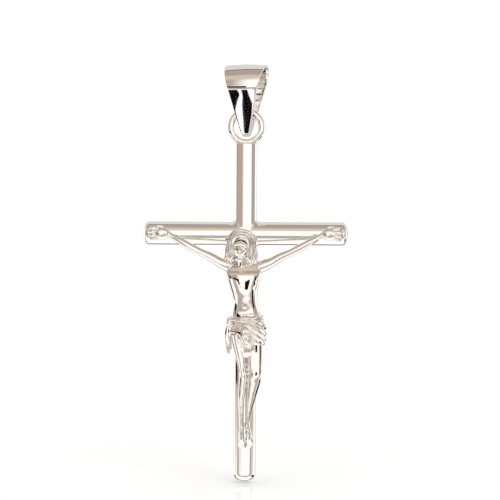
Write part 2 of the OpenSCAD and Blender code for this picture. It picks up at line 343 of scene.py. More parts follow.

# %% [markdown]
# The silver itself. Rhodium-plated sterling is a bright, faintly warm metal. Its tubes and strip
# are buffed on a wheel, which leaves a mirror with hairline scratches along the buffing
# direction. A casting is tumbled, so its mirror is softer. Every finish is painted darker in its
# creases and hollows: this is painted shade where the light is hemmed in, and it partly stands for
# the dark film that the wheel never reaches. One function makes them all, because they differ
# only in colour, softness and scratch size.

# %% Make the silver finishes
def silver(name, hex_colour, crease_shade_hex, roughness, ripple_mm, ripple, scratch_stretch):
    """Polished silver: a metal with fine stretched scratches in its gloss, a faint polishing
    ripple in its height, and painted shade: a darker colour where the surface is hollow, which
    partly stands for tarnish left there."""
    material, tree, out = new_material(name)
    where = add_node(tree, "ShaderNodeTexCoord").outputs["Object"]
    scaled = add_node(tree, "ShaderNodeMapping", [("Vector", where)], Scale=scratch_stretch)
    scratch = add_node(tree, "ShaderNodeTexNoise", [("Vector", scaled.outputs[0])],
                       Scale=1 / (0.12 * MM), Detail=3.0, Roughness=0.6)
    gloss = add_node(tree, "ShaderNodeMapRange", [("Value", scratch.outputs[0])], From_Min=0.35,
                     From_Max=0.75, To_Min=roughness * 0.7, To_Max=roughness * 1.6)
    wave = add_node(tree, "ShaderNodeTexNoise", [("Vector", where)], Scale=1 / (ripple_mm * MM),
                    Detail=1.0)
    bump = add_node(tree, "ShaderNodeBump", [("Height", wave.outputs[0])], Strength=1.0,
                    Distance=ripple * MM)
    # Painted shade: pointiness picks out creases and hollows, and the base colour is darkened there,
    # partly standing for tarnish.
    hollow = add_node(tree, "ShaderNodeNewGeometry").outputs["Pointiness"]
    crease_shade_and_film = add_node(tree, "ShaderNodeMapRange", [("Value", hollow)], From_Min=0.40, From_Max=0.485)
    tone = add_node(tree, "ShaderNodeMix", data_type="RGBA", blend_type="MIX")
    tone.inputs[6].default_value = linear(crease_shade_hex)
    tone.inputs[7].default_value = linear(hex_colour)
    tree.links.new(crease_shade_and_film.outputs[0], tone.inputs[0])
    shader = add_node(tree, "ShaderNodeBsdfPrincipled", [("Base Color", tone.outputs[2]),
                      ("Roughness", gloss.outputs[0]), ("Normal", bump.outputs[0])], Metallic=1.0)
    tree.links.new(shader.outputs[0], out.inputs[0])
    return material


# The second colour of each finish is its painted shade in creases and hollows, which partly stands for
# tarnish; it is darkest on the cast figure and on the bail's strip.
finish = {
    "silver_tube": silver("buffed drawn silver tube", "#faf8f5", "#ece7e0", 0.04, 2.2, 0.0015,
                          (0.35, 1.0, 1.0)),
    "turned_silver": silver("buffed turned silver", "#faf8f5", "#ece7e0", 0.04, 2.0, 0.0015,
                            (1.0, 1.0, 0.6)),
    "silver_wire": silver("polished silver wire", "#f8f5f1", "#d6cec4", 0.06, 1.2, 0.001,
                          (1.0, 1.0, 1.0)),
    "rolled_silver": silver("buffed rolled silver strip", "#faf8f5", "#6e635b", 0.04, 1.6, 0.003,
                            (1.0, 1.0, 0.3)),
    "cast_silver": silver("tumbled cast silver", "#f8f5f1", "#5d5049", 0.05, 0.7, 0.004,
                          (1.0, 1.0, 1.0)),
}
for node, obj in frame["nodes"].items():
    slot = next(s["material_slot"] for s in record["subparts"] if s["node"] == node)
    for holder in obj.material_slots:
        holder.material = finish[slot]
print("finishes:", list(finish))

# %% [markdown]
# Every surface is made in two moves. The first is here: a grid of points becomes a mesh of quads.
# The second comes next: a smooth path runs through a few given stations, and a sweep
# carries an ellipse along it and rounds its two ends, which is all that an arm or a lock needs.

# %% Make meshes from grids
def grid_faces(rows, columns, start=0, wrap_rows=False):
    """Quads between neighbouring rows of a grid whose columns close on themselves."""
    r = np.arange(rows if wrap_rows else rows - 1)
    a = (r[:, None] * columns + np.arange(columns)[None, :]).ravel()
    b = (r[:, None] * columns + np.roll(np.arange(columns), -1)[None, :]).ravel()
    up_a = (a + columns) % (rows * columns)
    up_b = (b + columns) % (rows * columns)
    return np.stack([a, b, up_b, up_a], axis=1) + start


def grid_surface(points, wrap_rows=False):
    """(vertices, quads) of points[row, column], closed along its columns."""
    rows, columns, _ = points.shape
    return points.reshape(-1, 3), grid_faces(rows, columns, wrap_rows=wrap_rows)


def joined(surfaces):
    """Several (vertices, quads) as one."""
    offsets = np.cumsum([0] + [len(v) for v, _ in surfaces[:-1]])
    return (np.concatenate([v for v, _ in surfaces]),
            np.concatenate([f + o for (_, f), o in zip(surfaces, offsets)]))


def put_in_mesh(mesh, vertices, faces):
    """Fills a mesh from whole arrays: points, corners and quads."""
    mesh.vertices.add(len(vertices))
    mesh.vertices.foreach_set("co", np.ascontiguousarray(vertices, np.float32).ravel())
    mesh.loops.add(faces.size)
    mesh.loops.foreach_set("vertex_index", faces.astype(np.int32).ravel())
    mesh.polygons.add(len(faces))
    mesh.polygons.foreach_set("loop_start", np.arange(0, faces.size, 4, dtype=np.int32))
    mesh.update(calc_edges=True)
    mesh.validate()


def new_piece(name, vertices, faces, material, sharp=35.0):
    """An object at the origin whose mesh holds the surface, given in mm. Points closer than
    two thousandths are welded, which shuts every pole, the faces are made to look outwards, and
    the shading breaks only where two faces meet at more than the sharp angle, in degrees."""
    mesh = bpy.data.meshes.new(name)
    put_in_mesh(mesh, vertices * MM, faces)
    shape = bmesh.new()
    shape.from_mesh(mesh)
    bmesh.ops.remove_doubles(shape, verts=shape.verts, dist=0.002 * MM)
    bmesh.ops.recalc_face_normals(shape, faces=shape.faces)
    volume = shape.calc_volume(signed=True) / MM**3
    if volume < 0:
        bmesh.ops.reverse_faces(shape, faces=shape.faces)
    shape.to_mesh(mesh)
    shape.free()
    mesh.polygons.foreach_set("use_smooth", np.ones(len(mesh.polygons), bool))
    mesh.set_sharp_from_angle(angle=math.radians(sharp))
    mesh.materials.append(material)
    obj = bpy.data.objects.new(name, mesh)
    bpy.context.scene.collection.objects.link(obj)
    print(f"{name:26s} {len(mesh.polygons):7d} faces, {abs(volume):6.2f} mm3")
    return obj


# %% [markdown]
# Paths and sweeps. A bell and a step are the only two curves that the relief on the figure needs:
# a bell raises or sinks a place, and a step starts or ends it.

# %% Make paths and sweeps
def smooth_path(stations, count):
    """Catmull-Rom: each span is the cubic whose slopes at its ends are half the step between the
    stations on either side. Every column of the stations is carried along."""
    p = np.asarray(stations, float)
    p = np.vstack([2 * p[0] - p[1], p, 2 * p[-1] - p[-2]])
    t = np.linspace(0, len(p) - 3, count)
    k = np.minimum(t.astype(int), len(p) - 4)
    f = (t - k)[:, None]
    a, b, c, d = p[k], p[k + 1], p[k + 2], p[k + 3]
    return 0.5 * (2 * b + (c - a) * f + (2 * a - 5 * b + 4 * c - d) * f**2
                  + (3 * b - a - 3 * c + d) * f**3)


def unit(v):
    """Vectors made one long."""
    return v / np.maximum(np.linalg.norm(v, axis=-1, keepdims=True), 1e-12)


def sweep(stations, around=32, along=8, front=(0, -1, 0), bump=None):
    """An ellipse on a smooth path: each station is x, y, z, half width and half depth, with the
    depth measured towards the front. The ends close as half ellipsoids. bump(points, facing)
    gives how far each point moves outwards, where facing is 1 straight in front and -1 behind."""
    s = smooth_path(stations, (len(stations) - 1) * along + 1)
    tangent = unit(np.gradient(s[:, :3], axis=0))
    turn = np.linspace(0, math.pi / 2, 7)[1:]
    tip = s[[0, -1], 3:5].mean(axis=1)
    head = s[0, :3] - tangent[0] * tip[0] * np.sin(turn[::-1])[:, None]
    tail = s[-1, :3] + tangent[-1] * tip[1] * np.sin(turn)[:, None]
    centre = np.vstack([head, s[:, :3], tail])
    shrink = np.concatenate([np.cos(turn[::-1]), np.ones(len(s)), np.cos(turn)])
    half = np.vstack([np.repeat(s[:1, 3:5], 6, 0), s[:, 3:5], np.repeat(s[-1:, 3:5], 6, 0)])
    half = half * np.maximum(shrink, 1e-3)[:, None]
    tangent = np.vstack([np.repeat(tangent[:1], 6, 0), tangent, np.repeat(tangent[-1:], 6, 0)])
    side = unit(np.cross(tangent, np.array(front, float)))
    deep = np.cross(side, tangent)
    angle = np.linspace(0, 2 * math.pi, around, endpoint=False)
    out = (half[:, None, :1] * np.cos(angle)[None, :, None] * side[:, None, :]
           + half[:, None, 1:] * np.sin(angle)[None, :, None] * deep[:, None, :])
    points = centre[:, None, :] + out
    if bump is not None:
        away = unit(out)
        facing = np.sin(angle)[None, :] * np.ones((len(centre), 1))
        points = points + away * (bump(points, facing) * shrink[:, None])[..., None]
    return grid_surface(points)


def bell(value, width):
    """A smooth hump: 1 at zero, falling to a third one width away."""
    return np.exp(-(value / width) ** 2)


def step(value, low, high):
    """A smooth rise from 0 at low to 1 at high."""
    t = np.clip((value - low) / (high - low), 0, 1)
    return t * t * (3 - 2 * t)


# %% [markdown]
# The tubes. A tube is a profile turned about its axis: the outside, the cut end, the inside. Where
# the upright meets the crossbar, its end is coped, which means filed to the crossbar's round, so
# the end's height at each angle is the height of the crossbar's surface there.

# %% Turn the crossbar and the uprights
AROUND = 160
TUBE_WALL = 0.35
ring_angle = np.linspace(0, 2 * math.pi, AROUND, endpoint=False)


def turned(profile, axis_to_world):
    """A closed profile of (radius, height) rows turned about Z, then placed by the function."""
    radius, height = profile[:, 0][:, None], profile[:, 1][:, None]
    points = np.stack([radius * np.cos(ring_angle), radius * np.sin(ring_angle),
                       height + 0 * ring_angle], axis=-1)
    return grid_surface(axis_to_world(points), wrap_rows=True)


def along_x(points):
    """Lays a turned piece down so that its axis is the crossbar's."""
    return np.stack([points[..., 2], points[..., 0], points[..., 1] + crossbar_z], axis=-1)


bar_half = span["crossbar_tube"][0] / 2
bar_profile = np.array([[crossbar_r, z] for z in np.linspace(-bar_half, bar_half, 9)]
                       + [[crossbar_r - TUBE_WALL, z] for z in np.linspace(bar_half, -bar_half, 9)])
crossbar = new_piece("crossbar_polished", *turned(bar_profile, along_x), finish["silver_tube"])


def coped_tube(far_z, sign):
    """An upright whose near end is coped to the crossbar: its end stands at the height of the
    crossbar's surface over each point, the root of bar radius squared less y squared."""
    rows = np.linspace(0, 1, 40)[:, None]

    def wall(radius):
        """One wall of the tube, as rows from the coped end to the far end."""
        y = radius * np.sin(ring_angle)
        near = crossbar_z + sign * np.sqrt(crossbar_r**2 - y**2)
        z = near + (far_z - near) * rows
        xy = np.stack([radius * np.cos(ring_angle), y], axis=-1)
        return np.concatenate([np.broadcast_to(xy, (40, AROUND, 2)), z[..., None]], axis=-1)

    return grid_surface(np.concatenate([wall(upright_r), wall(upright_r - TUBE_WALL)[::-1]]),
                        wrap_rows=True)


upper_end = node_box["upper_upright_tube"][1][2]
lower_end = node_box["lower_upright_tube"][0][2]
upper = new_piece("upper_upright_polished", *coped_tube(upper_end, 1), finish["silver_tube"])
lower = new_piece("lower_upright_polished", *coped_tube(lower_end, -1), finish["silver_tube"])
print(f"crossbar {2 * bar_half:.2f} mm, uprights {upper_end - crossbar_z:.2f} "
      f"and {crossbar_z - lower_end:.2f} mm from the axis")

# %% [markdown]
# Solder runs into the joint and leaves a small hollow fillet. Each of its ribs is a curve with
# three control points: one up the upright, one in the corner and one out along the crossbar.

# %% Run the solder fillets
def solder_fillet(sign, size):
    """A quadratic curve at each angle, from the upright's wall to the crossbar's surface, with
    its control point in the corner; the far side closes inside the metal."""
    x, y = upright_r * np.cos(ring_angle), upright_r * np.sin(ring_angle)
    corner = np.stack([x, y, np.sqrt(crossbar_r**2 - y**2)], axis=-1)
    normal = unit(corner * [0, 1, 1])
    outward = np.stack([np.cos(ring_angle), np.sin(ring_angle), 0 * x], axis=-1)
    slide = unit(outward - (outward * normal).sum(-1, keepdims=True) * normal)
    foot = corner + size * slide
    foot[:, 1:] *= (crossbar_r / np.linalg.norm(foot[:, 1:], axis=1))[:, None]
    top = corner + [0, 0, size]
    t = np.linspace(0, 1, 12)[:, None, None]
    curve = (1 - t)**2 * top + 2 * t * (1 - t) * corner + t**2 * foot
    inner = corner - 0.1 * outward - 0.1 * normal
    points = np.concatenate([curve, inner[None]])
    points = points * [1, 1, sign] + [0, 0, crossbar_z]
    vertices, faces = grid_surface(points, wrap_rows=True)
    return vertices, faces if sign > 0 else faces[:, ::-1]


top_fillet = new_piece("solder_fillet_above", *solder_fillet(1, 0.34), finish["silver_tube"])
low_fillet = new_piece("solder_fillet_below", *solder_fillet(-1, 0.34), finish["silver_tube"])
print("fillets run")

# %% [markdown]
# The plugs. A lathe profile runs up the side, round the corner and over a shallow dome to the
# centre. The dome is an arc of a large circle and the corner is an arc that is tangent to both.

# %% Turn the plugs
def plug_profile(radius, height, corner, dome_r):
    """Side, corner arc and dome arc as (radius, height) rows, from inside the tube to the centre.
    The corner's circle touches the side and lies inside the dome's circle, touching it."""
    dome_z = height - dome_r
    corner_z = dome_z + math.sqrt((dome_r - corner)**2 - (radius - corner)**2)
    lean = math.asin((radius - corner) / (dome_r - corner))
    turn = np.linspace(math.pi / 2, lean, 20)
    arc = np.stack([radius - corner + corner * np.sin(turn), corner_z + corner * np.cos(turn)], 1)
    over = np.linspace(lean, 0.0, 22)[1:]
    dome = np.stack([dome_r * np.sin(over), dome_z + dome_r * np.cos(over)], 1)
    dome[-1, 0] = 1e-4
    bore_r = radius - TUBE_WALL
    side = np.array([[1e-4, -0.3], [bore_r, -0.3], [bore_r, 0.0], [radius, 0.0]])
    return np.vstack([side, arc, dome])


def plug(name, node, height, corner, dome_r, place):
    """A turned plug, placed on its tube's end."""
    radius = max(span[node][0], span[node][1]) / 2
    profile = plug_profile(radius, height, corner, dome_r)
    return new_piece(name, *turned(profile, place), finish["turned_silver"])


DOME_SHARE, CORNER_SHARE = 1.8, 0.7     # dome radius over tube radius, corner over height
arm_out = bar_end_x - bar_half
foot_out = lower_end - foot_z
crown_out = crown_z - upper_end
right_plug = plug("right_plug_polished", "right_end_cap", arm_out, CORNER_SHARE * arm_out,
                  DOME_SHARE * crossbar_r, lambda p: along_x(p + [0, 0, bar_half]))
left_plug = plug("left_plug_polished", "left_end_cap", arm_out, CORNER_SHARE * arm_out,
                 DOME_SHARE * crossbar_r, lambda p: along_x((p + [0, 0, bar_half]) * [-1, 1, -1]))
foot_plug = plug("foot_plug_polished", "foot_cap", foot_out, CORNER_SHARE * foot_out,
                 DOME_SHARE * upright_r, lambda p: p * [-1, 1, -1] + [0, 0, lower_end])
crown_plug = plug("crown_plug_polished", "crown_cap", crown_out, 0.16, 20.0,
                  lambda p: p + [0, 0, upper_end])
print(f"plugs stand out {arm_out:.2f}, {foot_out:.2f} and {crown_out:.2f} mm")

# %% [markdown]
# The ring is a length of round wire bent into a circle: a small circle carried round a large one.

# %% Bend the ring
wire_r = span["suspension_ring"][1] / 2
ring_c = span["suspension_ring"][0] / 2 - wire_r
ring_z = middle["suspension_ring"][2]
big = np.linspace(0, 2 * math.pi, 128, endpoint=False)[:, None]
small = np.linspace(0, 2 * math.pi, 40, endpoint=False)[None, :]
ring_points = np.stack([(ring_c + wire_r * np.cos(small)) * np.cos(big),
                        -wire_r * np.sin(small) + 0 * big,
                        ring_z + (ring_c + wire_r * np.cos(small)) * np.sin(big)], axis=-1)
ring = new_piece("ring_polished", *grid_surface(ring_points[::-1], wrap_rows=True),
                 finish["silver_wire"])
print(f"ring of {2 * wire_r:.2f} mm wire on a {2 * ring_c:.2f} mm circle")

# %% [markdown]
# The bail is a strip folded into a drop. Seen along its axis, its outside and inside are each two
# circles joined by the lines that touch both: the chain's seat above and the ring's seat below.
# Seen from the front it tapers downwards. Its face is cambered, slightly higher along the
# middle than at its rounded edges, and this is what splits the mirror on it into panels.

# %% Fold the bail
BAIL_WALL = 0.4
BAIL_TOP_W, BAIL_NECK_W, BAIL_TIP_W = 4.4, 2.0, 0.64
CAMBER, EDGE_R = 0.13, 0.09         # height of the face's crown, radius of the strip's edges
SWING_PLAY = 0.06                   # mm between the bail's lower seat and the ring's wire
bail_low = node_box["bail"][0][2]
ring_hole_r = ring_c - wire_r
ring_seat_r = ring_c - math.sqrt(ring_hole_r**2 - (BAIL_NECK_W / 2)**2) + SWING_PLAY
bail_r = chain_seat_r + BAIL_WALL
bail_lean = math.asin((chain_seat_r - ring_seat_r) / -hinge_z)
tip_apart = (-bail_low - bail_r) / (1 - math.sin(bail_lean))
tip_r = bail_r - tip_apart * math.sin(bail_lean)


def drop_outline(top_r, low_r, apart):
    """(depth, height) points round two circles and the lines that touch both, from the top's
    middle and on over the front. The counts are fixed, so two outlines pair point by point."""
    lean = math.asin((top_r - low_r) / apart)
    over = np.linspace(math.pi / 2, -lean, 48, endpoint=False)
    line = np.linspace(0, 1, 36, endpoint=False)[:, None]
    under = np.linspace(-lean, -math.pi / 2, 24)
    top = top_r * np.stack([np.cos(over), np.sin(over)], 1)
    start = top_r * np.array([math.cos(lean), -math.sin(lean)])
    end = low_r * np.array([math.cos(lean), -math.sin(lean)]) + [0, -apart]
    low = low_r * np.stack([np.cos(under), np.sin(under)], 1) + [0, -apart]
    front = np.vstack([top, start + (end - start) * line, low])
    back = front[1:-1][::-1] * [-1, 1]
    return np.vstack([front, back]) * [-1, 1]


def strip_width(z):
    """Half the strip's width at a height: straight from the top to the hinge, then to the tip."""
    return np.interp(z, [bail_low, hinge_z, bail_r], np.array([BAIL_TIP_W, BAIL_NECK_W,
                                                               BAIL_TOP_W]) / 2)


def strip_section():
    """A rounded rectangle as corner signs, corner angles and how far each point lies along a
    face: six points on each corner and fifteen along each wide face."""
    rows = []
    for sx, sy, first in ((1, 1, 0), (-1, 1, 90), (-1, -1, 180), (1, -1, 270)):
        for a in np.linspace(0, 90, 6):
            rows.append((sx, sy, math.radians(first + a), 1.0))
        if sy * sx > 0:
            for f in np.linspace(0.9, -0.9, 15):
                rows.append((sx * f / abs(f) if f else sx, sy, math.radians(first + 90), abs(f)))
    return np.array(rows)


def bail_surface():
    """Carries the section round the drop, between the inner and the outer outline."""
    outer = drop_outline(bail_r - CAMBER, tip_r - CAMBER, tip_apart)
    inner = drop_outline(chain_seat_r, ring_seat_r, -hinge_z)
    sx, sy, angle, share = strip_section().T[:, None, :]
    across = unit(outer - inner)[:, None, :]
    thick = np.linalg.norm(outer - inner, axis=1)[:, None]
    mid = ((outer + inner) / 2)[:, None, :]
    half_w = strip_width(mid[..., 1])
    lateral = sx * share * (half_w - EDGE_R) + EDGE_R * np.cos(angle)
    depth = sy * (thick / 2 - EDGE_R) + EDGE_R * np.sin(angle)
    camber = CAMBER * (1 - (lateral / half_w)**2) * (sy > 0) * half_w / (BAIL_TOP_W / 2)
    yz = mid + across * (depth + camber)[..., None]
    half_w = strip_width(yz[..., 1])
    lateral = sx * share * (half_w - EDGE_R) + EDGE_R * np.cos(angle)
    c, s = math.cos(bail_turn), math.sin(bail_turn)
    return np.stack([lateral * c - yz[..., 0] * s, lateral * s + yz[..., 0] * c, yz[..., 1]], -1)


bail = new_piece("bail_strip_polished", *grid_surface(bail_surface(), wrap_rows=True),
                 finish["rolled_silver"])
print(f"bail {BAIL_TOP_W} mm wide on a {2 * chain_seat_r:.1f} mm seat, tip at {bail_low:.2f}")

# %% [markdown]
# The figure is one casting. In a foundry's wax it starts as separate rolls for limbs and body,
# which are pressed together and smoothed where they meet. The same is done here: every limb is a
# sweep, all of them are fused by a fine voxel remesh, and a few rounds of smoothing soften the
# creases as wax and casting do. The heights below are measured from the crossbar's axis, and
# x is measured from the upright's axis, in mm.

# %% Fuse and smooth
def smoothed(vertices, edges, rounds):
    """Taubin smoothing: each round moves every point towards its neighbours' mean and then a
    little further back, which takes off bumps without shrinking the limbs."""
    count = np.bincount(edges.ravel(), minlength=len(vertices))[:, None]
    for k in range(2 * rounds):
        total = np.zeros_like(vertices)
        for axis in range(3):
            total[:, axis] = (np.bincount(edges[:, 0], vertices[edges[:, 1], axis], len(vertices))
                              + np.bincount(edges[:, 1], vertices[edges[:, 0], axis], len(vertices)))
        vertices = vertices + (0.55 if k % 2 == 0 else -0.57) * (total / count - vertices)
    return vertices


def keep_off_tubes(vertices):
    """Points of the casting that fall inside a tube are moved straight out to its surface."""
    v = vertices.copy()
    for axis_a, axis_b, middle_b, radius, where in (
            (1, 2, 0.0, crossbar_r, np.abs(v[:, 0]) < bar_half),
            (0, 1, 0.0, upright_r, v[:, 2] < 0.0)):
        a, b = v[:, axis_a], v[:, axis_b] - middle_b
        distance = np.hypot(a, b)
        inside = where & (distance < radius) & (distance > 0.3 * radius)
        v[inside, axis_a] *= (radius / distance[inside])
        v[inside, axis_b] *= (radius / distance[inside])
    return v


def cast(name, surfaces, voxel, rounds):
    """Presses the surfaces together, smooths the result and stands it on the cross."""
    vertices, faces = joined(surfaces)
    rough = bpy.data.meshes.new("wax")
    put_in_mesh(rough, vertices, faces)
    wax = bpy.data.objects.new("wax", rough)
    bpy.context.scene.collection.objects.link(wax)
    remesh = wax.modifiers.new("press together", "REMESH")
    remesh.mode, remesh.voxel_size, remesh.adaptivity = "VOXEL", voxel, 0.0
    result = wax.evaluated_get(bpy.context.evaluated_depsgraph_get()).to_mesh()
    points = np.empty(len(result.vertices) * 3, np.float32)
    result.vertices.foreach_get("co", points)
    edges = np.empty(len(result.edges) * 2, np.int32)
    result.edges.foreach_get("vertices", edges)
    corners = np.empty(len(result.loops), np.int32)
    result.loops.foreach_get("vertex_index", corners)
    points = smoothed(points.reshape(-1, 3).astype(float), edges.reshape(-1, 2), rounds)
    points = keep_off_tubes(points) + [0, 0, crossbar_z]
    bpy.data.objects.remove(wax)
    bpy.data.meshes.remove(rough)
    print(f"{name}: {len(corners) // 4} quads")
    return new_piece(name, points, corners.reshape(-1, 4), finish["cast_silver"], sharp=70.0)


# %% [markdown]
# The trunk leans a little away from the upright, with its weight on the arms: a broad chest, the
# arch of the ribs standing over a drawn-in belly, and a narrow waist. The muscles are smooth
# humps and grooves added to one sweep, each a bell curve of the distance to a point or a line.

# %% Model the trunk
CHEST_Y = -(upright_r + 0.85)       # the trunk's axis in front of the upright's


def trunk_relief(points, facing):
    """Collarbones, chest muscles, rib arch, belly and navel on the trunk's front."""
    x, z = points[..., 0] + 0.08, points[..., 2]
    front = step(facing, 0.0, 0.6)
    chest = 0.035 * bell(np.abs(x) - 0.8, 0.6) * bell(z + 4.2, 0.6)
    arch_z = -5.1 - 0.6 * np.minimum(np.abs(x), 1.4) ** 1.6
    arch = -0.006 * bell(z - arch_z, 0.3)
    belly = 0.02 * bell(x, 0.7) * bell(z + 7.2, 0.7)
    navel = -0.02 * bell(x, 0.2) * bell(z + 7.3, 0.16)
    collar = 0.03 * bell(z + 2.9 + 0.12 * np.abs(x), 0.13) * step(np.abs(x), 0.15, 0.4)
    return front * (chest + arch + belly + navel + collar)


TRUNK_Y = -(upright_r + 0.45)       # the middle of its depth, which reaches back to the upright
trunk = sweep([
    (-0.30, CHEST_Y - 0.1, -2.45, 0.72, 0.50), (-0.22, TRUNK_Y - 0.1, -2.95, 1.50, 0.76),
    (-0.18, TRUNK_Y, -3.6, 1.86, 1.04), (-0.17, TRUNK_Y, -4.2, 1.80, 1.34),
    (-0.14, TRUNK_Y, -5.0, 1.60, 1.41), (-0.10, TRUNK_Y, -5.8, 1.40, 1.38),
    (-0.04, TRUNK_Y, -6.5, 1.29, 1.30), (0.00, TRUNK_Y, -7.2, 1.28, 1.21),
    (0.05, TRUNK_Y, -8.0, 1.42, 1.12), (0.12, TRUNK_Y, -9.2, 1.62, 1.1),
    (0.12, TRUNK_Y, -10.4, 1.6, 1.1)],
    around=96, along=22, bump=trunk_relief)
neck = sweep([(-0.44, CHEST_Y - 0.35, -1.9, 0.5, 0.48), (-0.32, CHEST_Y - 0.2, -2.5, 0.5, 0.46),
              (-0.22, CHEST_Y, -3.1, 0.7, 0.5)])


# %% [markdown]
# The arms rise from the shoulders to the crossbar, thin and stretched. A hand is a domed palm, a
# root that joins it to the wrist, four half-bent fingers spread over the tube, and a thumb.

# %% Model an arm with its hand
def egg(at, radii):
    """An ellipsoid as a sweep of circles whose radius follows the root of 1 less height squared."""
    turn = np.linspace(0.04, math.pi - 0.04, 26)[:, None]
    angle = np.linspace(0, 2 * math.pi, 36, endpoint=False)[None, :]
    points = np.stack([np.sin(turn) * np.cos(angle), np.sin(turn) * np.sin(angle),
                       np.cos(turn) + 0 * angle], axis=-1)
    return grid_surface(points * radii + at)


HAND_Y = -(crossbar_r + 0.2)        # the hands lie on the crossbar's front
FINGER_LENGTHS = (0.6, 0.74, 0.7, 0.54)


def arm(side):
    """Shoulder to wrist, then the palm with its root, four half-bent fingers and a thumb."""
    lean = 0.12 if side > 0 else -0.14
    shoulder = sweep([
        (side * 1.0 + lean, TRUNK_Y + 0.1, -3.5, 0.6, 0.6),
        (side * 1.75 + lean, TRUNK_Y - 0.05, -3.2, 0.6, 0.58),
        (side * 2.6 + lean, TRUNK_Y - 0.15, -2.82, 0.50, 0.5),
        (side * 3.6, TRUNK_Y - 0.2, -2.3, 0.44, 0.42), (side * 4.6, TRUNK_Y - 0.2, -1.84, 0.38, 0.36),
        (side * 5.5, TRUNK_Y - 0.15, -1.38, 0.40, 0.37),
        (side * 6.5, TRUNK_Y - 0.05, -0.82, 0.36, 0.32),
        (side * 7.4, HAND_Y - 0.06, -0.34, 0.27, 0.23), (side * 7.95, HAND_Y - 0.02, -0.12, 0.27, 0.2)],
        around=48, along=14)
    palm = [egg((side * 8.55, HAND_Y - 0.04, 0.03), (0.76, 0.42, 0.66)),
            sweep([(side * 7.6, HAND_Y, -0.2, 0.26, 0.18), (side * 8.0, HAND_Y, 0.0, 0.34, 0.22),
                   (side * 8.5, HAND_Y, 0.16, 0.4, 0.24)], around=32, along=8)]
    fingers = []
    for k in range(4):
        rise, length = 0.6 - 0.38 * k, FINGER_LENGTHS[k]
        fingers.append(sweep([
            (side * 8.8, HAND_Y - 0.06, 0.8 * rise, 0.19, 0.18),
            (side * (9.1 + 0.5 * length), HAND_Y - 0.16, rise, 0.18, 0.17),
            (side * (9.1 + length), HAND_Y - 0.02, rise, 0.15, 0.14)], around=16, along=6))
    thumb = sweep([(side * 8.1, HAND_Y - 0.06, 0.36, 0.15, 0.14),
                   (side * 8.5, HAND_Y - 0.12, 0.7, 0.14, 0.13),
                   (side * 8.95, HAND_Y - 0.12, 0.78, 0.11, 0.1)], around=16, along=6)
    return [shoulder, *palm, thumb, *fingers]


# %% [markdown]
# The legs hang side by side with the right one bent outwards at the knee. They stand off the
# upright and come back to it only at the soles, on a small hidden rest. The feet point down, and
# five toes go from large to small.

# %% Model the legs and feet
def leg_relief(knee_z, shift):
    """The relief of one leg, for a knee at a height and an axis shifted sideways."""
    def relief(points, facing):
        """A kneecap, the hollow under it and the shin's edge."""
        x, z = points[..., 0] - shift, points[..., 2]
        front = step(facing, 0.1, 0.8)
        cap = 0.012 * bell(z - knee_z, 0.34) * bell(x, 0.34)
        under = -0.006 * bell(z - knee_z + 0.55, 0.24) * bell(x, 0.5)
        shin = 0.008 * bell(x * 0.9, 0.12) * step(-z, -knee_z + 0.6, -knee_z + 1.4)
        return front * (cap + under + shin)
    return relief


FOOT_Y = -(upright_r + 0.24)        # the soles' middle, close in front of the upright
KNEE_Y = CHEST_Y - 0.12
TOE_SIZES = (0.105, 0.085, 0.08, 0.075, 0.07)
right_leg = sweep([
    (0.98, CHEST_Y, -10.2, 0.86, 0.84), (1.0, CHEST_Y - 0.12, -12.0, 0.84, 0.74),
    (1.02, CHEST_Y - 0.15, -13.6, 0.78, 0.66), (1.0, KNEE_Y - 0.08, -14.6, 0.71, 0.6),
    (0.80, CHEST_Y - 0.12, -15.8, 0.60, 0.6), (0.57, CHEST_Y - 0.06, -17.1, 0.45, 0.57),
    (0.38, FOOT_Y - 0.56, -18.6, 0.29, 0.56), (0.34, FOOT_Y - 0.5, -19.8, 0.23, 0.5)],
    around=64, along=18, bump=leg_relief(-14.5, 1.05))
left_leg = sweep([
    (-0.72, CHEST_Y, -10.2, 0.80, 0.80), (-0.52, CHEST_Y - 0.1, -12.0, 0.56, 0.66),
    (-0.30, CHEST_Y - 0.12, -13.4, 0.44, 0.56), (-0.16, KNEE_Y, -14.2, 0.42, 0.54),
    (-0.26, CHEST_Y - 0.06, -15.6, 0.38, 0.54), (-0.36, CHEST_Y - 0.02, -17.0, 0.33, 0.52),
    (-0.36, FOOT_Y - 0.52, -18.6, 0.26, 0.52), (-0.36, FOOT_Y - 0.47, -19.8, 0.22, 0.46)],
    around=64, along=18, bump=leg_relief(-14.1, -0.18))


def foot(x, ankle_x, lean, toe_z):
    """A foot pointing down: heel to ball as one sweep, then five toes from large to small."""
    sole = sweep([(ankle_x, FOOT_Y - 0.48, -19.7, 0.26, 0.48), (x, FOOT_Y - 0.44, -20.4, 0.3, 0.44),
                  (x + lean, FOOT_Y - 0.34, -21.1, 0.36, 0.34),
                  (x + 1.3 * lean, FOOT_Y - 0.14, toe_z + 0.5, 0.37, 0.2)],
                 around=36, along=10)
    toes = []
    inner = -math.copysign(1, x)
    for k, size in enumerate(TOE_SIZES):
        tx = x + 1.3 * lean + inner * (0.27 - 0.145 * k)
        tip = toe_z + 0.02 + 0.055 * k
        toes.append(sweep([(tx, FOOT_Y - 0.16, tip + 0.5, size, size),
                           (tx, FOOT_Y - 0.24, tip + 0.25, size, size),
                           (tx, FOOT_Y - 0.12, tip + size, size * 0.9, size * 0.9)],
                          around=14, along=6))
    return [sole, *toes]


